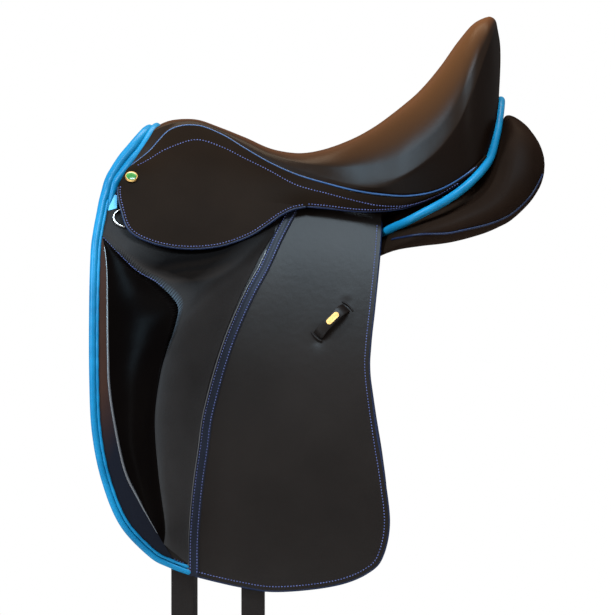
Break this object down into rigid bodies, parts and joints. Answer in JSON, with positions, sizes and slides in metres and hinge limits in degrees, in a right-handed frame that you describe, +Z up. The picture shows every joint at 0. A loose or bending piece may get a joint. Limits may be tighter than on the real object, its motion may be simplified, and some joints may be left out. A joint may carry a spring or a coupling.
{
  "type": "dressage saddle",
  "caption": "Dressage saddle with a deep dished seat, long straight flaps with thigh blocks, stuffed panels, blue edge rolls, stirrup bars and girth straps.",
  "frame": {"origin": "on the centre line below the middle of the seat, on the bearing plane of the panels", "axes": "+X to the cantle (rear), +Y to the right side, -Y to the near (left) side seen in the picture, +Z up"},
  "size_m": [0.5042, 0.4806, 0.863],
  "materials": {
    "tree_wood": "bare laminated wood",
    "steel": "bare",
    "bar_steel": "forged and polished",
    "ring_chrome": "bright",
    "webbing": "woven",
    "foam": "cellular",
    "seat_leather": "satin",
    "smooth_leather": "satin",
    "grain_leather": "pebbled grain",
    "strip_leather": "satin",
    "lining_leather": "matt",
    "strap_leather": "satin",
    "panel_leather": "soft satin",
    "blue_roll": "glossy azure",
    "blue_welt": "blue piping",
    "stud_enamel": "green enamel",
    "keeper_brass": "polished"
  },
  "bodies": {
    "saddle": {"tree": "tree_wood", "head_plate": "steel", "gullet_plate": "steel", "spring_steels": "steel", "tree_rivets": "steel", "seat_web": "webbing", "girth_web": "webbing", "seat_foam": "foam", "seat_cover": "seat_leather", "seat_welt_left": "blue_welt", "seat_welt_right": "blue_welt", "skirt_top_left": "smooth_leather", "skirt_top_right": "smooth_leather", "skirt_studs": "stud_enamel", "flap_top_left": "smooth_leather", "flap_top_right": "smooth_leather", "tree_nails": "steel", "sweat_flap_left": "lining_leather", "sweat_flap_right": "lining_leather", "billet_studs": "steel", "panel_left": "panel_leather", "panel_right": "panel_leather", "panel_welt_left": "blue_welt", "panel_welt_right": "blue_welt", "gullet_lining": "lining_leather", "cantle_roll": "blue_roll", "pommel_roll": "blue_roll", "front_roll": "blue_roll", "pommel_facing": "lining_leather", "stirrup_bar_left": "bar_steel", "stirrup_bar_right": "bar_steel", "catch_pins": "steel", "bar_rivets": "steel", "ring_tabs": "strip_leather"},
    "flap_left": {"flap_left": "smooth_leather", "flap_binding_left": "blue_roll", "flap_strip_left": "strip_leather", "block_face_left": "smooth_leather", "thigh_panel_left": "grain_leather", "block_foam_left": "foam", "keeper_left": "strip_leather", "keeper_plate_left": "keeper_brass"},
    "skirt_left": {"skirt_left": "smooth_leather"},
    "bar_catch_left": {"bar_catch_left": "bar_steel"},
    "d_ring_left": {"d_ring_left": "ring_chrome"},
    "front_billet_left": {"front_billet_left": "strap_leather"},
    "rear_billet_left": {"rear_billet_left": "strap_leather"},
    "flap_right": {"flap_right": "smooth_leather", "flap_binding_right": "blue_roll", "flap_strip_right": "strip_leather", "block_face_right": "smooth_leather", "thigh_panel_right": "grain_leather", "block_foam_right": "foam", "keeper_right": "strip_leather", "keeper_plate_right": "keeper_brass"},
    "skirt_right": {"skirt_right": "smooth_leather"},
    "bar_catch_right": {"bar_catch_right": "bar_steel"},
    "d_ring_right": {"d_ring_right": "ring_chrome"},
    "front_billet_right": {"front_billet_right": "strap_leather"},
    "rear_billet_right": {"rear_billet_right": "strap_leather"}
  },
  "joints": [
    {"name": "flap_lift_left", "type": "hinge", "parent": "saddle", "child": "flap_left", "pos_m": [0, -0.097, 0.057], "axis": [-0.9945, 0, 0.1045], "range_deg": [0, 70]},
    {"name": "flap_lift_right", "type": "hinge", "parent": "saddle", "child": "flap_right", "pos_m": [0, 0.097, 0.057], "axis": [0.9945, 0, -0.1045], "range_deg": [0, 70]},
    {"name": "skirt_lift_left", "type": "hinge", "parent": "flap_left", "child": "skirt_left", "pos_m": [0, -0.097, 0.057], "axis": [-0.9945, 0, 0.1045], "range_deg": [0, 60]},
    {"name": "skirt_lift_right", "type": "hinge", "parent": "flap_right", "child": "skirt_right", "pos_m": [0, 0.097, 0.057], "axis": [0.9945, 0, -0.1045], "range_deg": [0, 60]},
    {"name": "bar_catch_turn_left", "type": "hinge", "parent": "saddle", "child": "bar_catch_left", "pos_m": [-0.08824, -0.09412, 0.04227], "axis": [0.0562, -0.843, 0.535], "range_deg": [0, 80]},
    {"name": "bar_catch_turn_right", "type": "hinge", "parent": "saddle", "child": "bar_catch_right", "pos_m": [-0.08824, 0.09412, 0.04227], "axis": [-0.0562, -0.843, -0.535], "range_deg": [0, 80]},
    {"name": "d_ring_swing_left", "type": "hinge", "parent": "saddle", "child": "d_ring_left", "pos_m": [-0.216, -0.10717, 0.048], "axis": [0.0892, 0.5221, 0.8482], "range_deg": [0, 20]},
    {"name": "d_ring_swing_right", "type": "hinge", "parent": "saddle", "child": "d_ring_right", "pos_m": [-0.216, 0.10717, 0.048], "axis": [-0.0892, 0.5221, -0.8482], "range_deg": [0, 20]},
    {"name": "front_billet_swing_left", "type": "hinge", "parent": "saddle", "child": "front_billet_left", "pos_m": [-0.154, -0.11831, 0.00519], "axis": [-0.0499, 0.8786, -0.475], "range_deg": [-3, 3]},
    {"name": "front_billet_swing_right", "type": "hinge", "parent": "saddle", "child": "front_billet_right", "pos_m": [-0.154, 0.11831, 0.00519], "axis": [0.0499, 0.8786, 0.475], "range_deg": [-3, 3]},
    {"name": "rear_billet_swing_left", "type": "hinge", "parent": "saddle", "child": "rear_billet_left", "pos_m": [-0.077, -0.1094, 0.01309], "axis": [-0.0523, 0.8661, -0.4972], "range_deg": [-3, 3]},
    {"name": "rear_billet_swing_right", "type": "hinge", "parent": "saddle", "child": "rear_billet_right", "pos_m": [-0.077, 0.1094, 0.01309], "axis": [0.0523, 0.8661, 0.4972], "range_deg": [-3, 3]}
  ]
}
